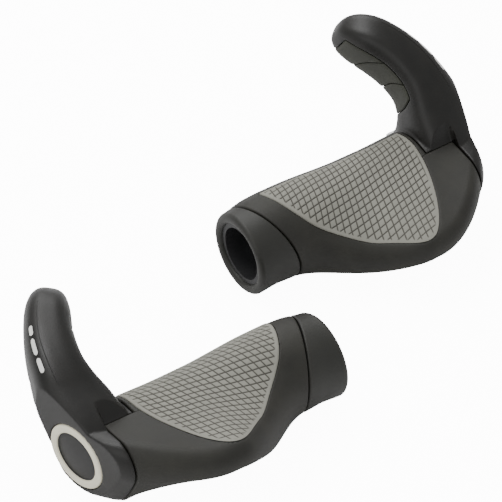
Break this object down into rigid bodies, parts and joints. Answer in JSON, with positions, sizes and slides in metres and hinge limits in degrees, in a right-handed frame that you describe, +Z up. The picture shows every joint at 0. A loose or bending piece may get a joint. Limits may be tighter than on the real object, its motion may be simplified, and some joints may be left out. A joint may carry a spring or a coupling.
{
  "type": "bar end grips",
  "caption": "Mirrored winged handlebar grips with soft palm pads and short curved bar ends clamped at their outboard ends.",
  "frame": {"origin": "on the floor, at the middle of the pair's outline seen from above", "axes": "+X along the bar bores towards the rider's right, +Y forward (away from the rider), +Z up"},
  "size_m": [0.2258, 0.159, 0.0705],
  "materials": {
    "sleeve_nylon": "matt glass-filled nylon",
    "grip_rubber": "fine matt rubber",
    "collar_rubber": "smooth satin rubber",
    "pad_rubber": "matt rubber with fine crossing grooves",
    "horn_composite": "satin fibre-filled composite",
    "inlay_rubber": "matt soft rubber",
    "band_aluminium": "machined",
    "screw_steel": "zinc plated",
    "plug_plastic": "satin black",
    "ring_plastic": "off-white moulded"
  },
  "bodies": {
    "grips": {"left_core_sleeve": "sleeve_nylon", "left_grip_body": "grip_rubber", "left_end_collar": "collar_rubber", "left_palm_pad": "pad_rubber", "right_core_sleeve": "sleeve_nylon", "right_grip_body": "grip_rubber", "right_end_collar": "collar_rubber", "right_palm_pad": "pad_rubber"},
    "left_bar_end": {"left_bar_end_body": "horn_composite", "left_finger_inlay_root": "inlay_rubber", "left_finger_inlay_mid": "inlay_rubber", "left_finger_inlay_tip": "inlay_rubber", "left_clamp_band": "band_aluminium", "left_screw_washer": "screw_steel", "left_clamp_nut": "screw_steel", "left_end_plug": "plug_plastic", "left_badge_ring": "ring_plastic"},
    "left_screw": {"left_clamp_screw": "screw_steel"},
    "right_bar_end": {"right_bar_end_body": "horn_composite", "right_finger_inlay_root": "inlay_rubber", "right_finger_inlay_mid": "inlay_rubber", "right_finger_inlay_tip": "inlay_rubber", "right_clamp_band": "band_aluminium", "right_screw_washer": "screw_steel", "right_clamp_nut": "screw_steel", "right_end_plug": "plug_plastic", "right_badge_ring": "ring_plastic"},
    "right_screw": {"right_clamp_screw": "screw_steel"}
  },
  "joints": [
    {"name": "left_bar_end_swivel", "type": "hinge", "parent": "grips", "child": "left_bar_end", "pos_m": [-0.0935, -0.03757, 0.0178], "axis": [1, 0, 0], "range_deg": [-25, 0]},
    {"name": "left_clamp_screw_turn", "type": "hinge", "parent": "left_bar_end", "child": "left_screw", "pos_m": [-0.0935, -0.02141, 0.01192], "axis": [0, 0.3419, 0.9397], "continuous": true},
    {"name": "right_bar_end_swivel", "type": "hinge", "parent": "grips", "child": "right_bar_end", "pos_m": [0.0935, 0.02543, 0.0178], "axis": [1, 0, 0], "range_deg": [-25, 0]},
    {"name": "right_clamp_screw_turn", "type": "hinge", "parent": "right_bar_end", "child": "right_screw", "pos_m": [0.0935, 0.04263, 0.0178], "axis": [0, 0, 1], "continuous": true}
  ]
}
